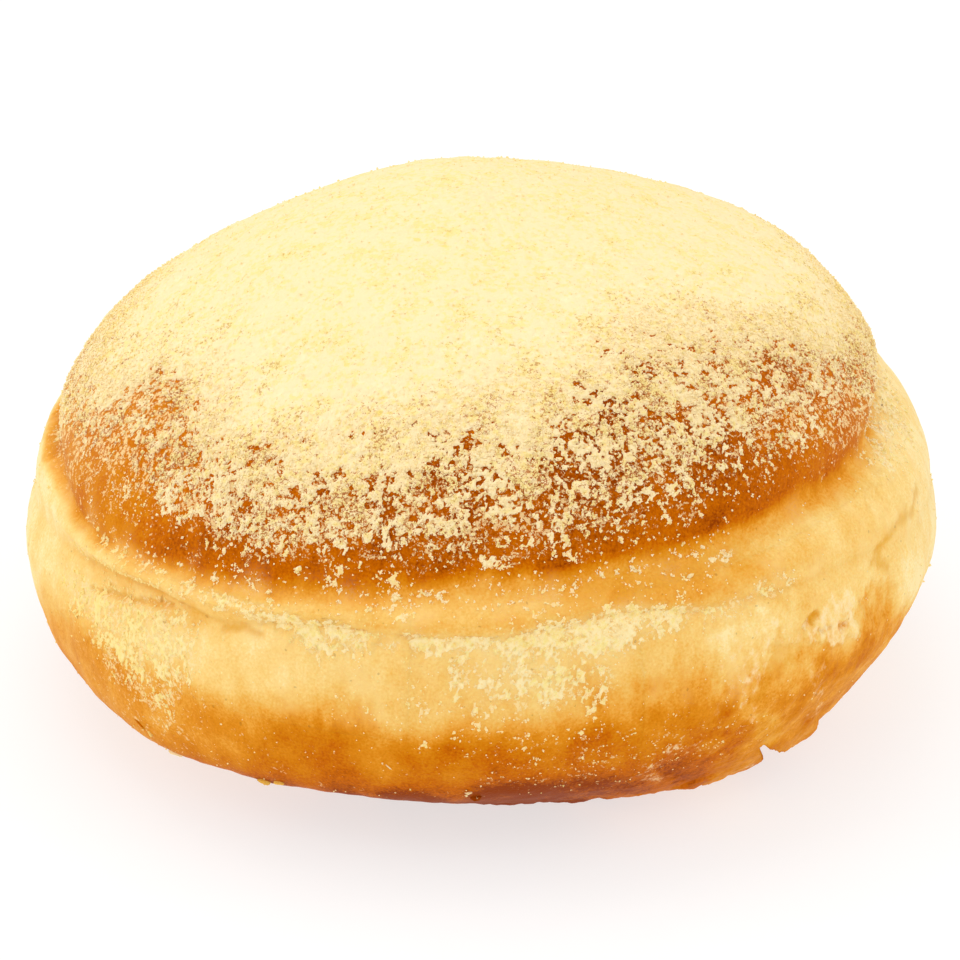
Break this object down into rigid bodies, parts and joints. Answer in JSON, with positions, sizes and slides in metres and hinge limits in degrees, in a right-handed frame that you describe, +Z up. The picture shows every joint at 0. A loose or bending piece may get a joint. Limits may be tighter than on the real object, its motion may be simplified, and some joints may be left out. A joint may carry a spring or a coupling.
{
  "type": "cream-filled doughnut",
  "caption": "Round filled doughnut without a hole: a domed brown crown dusted with pale yellow powder, a pale collar with a crease under it, and a browned lower half on a flat foot.",
  "frame": {"origin": "centre of the bounding box's bottom face, on the flat foot", "axes": "+Z up out of the crown; -Y towards the side that the picture shows, with +X to its right"},
  "size_m": [0.09, 0.0904, 0.0513],
  "materials": {
    "crust": "fried dough, golden brown crown and underside with a pale collar, dry and only faintly glossy",
    "powder": "fine pale yellow sifted powder, fully matt"
  },
  "bodies": {
    "root": {"doughnut": "crust"}
  },
  "joints": []
}
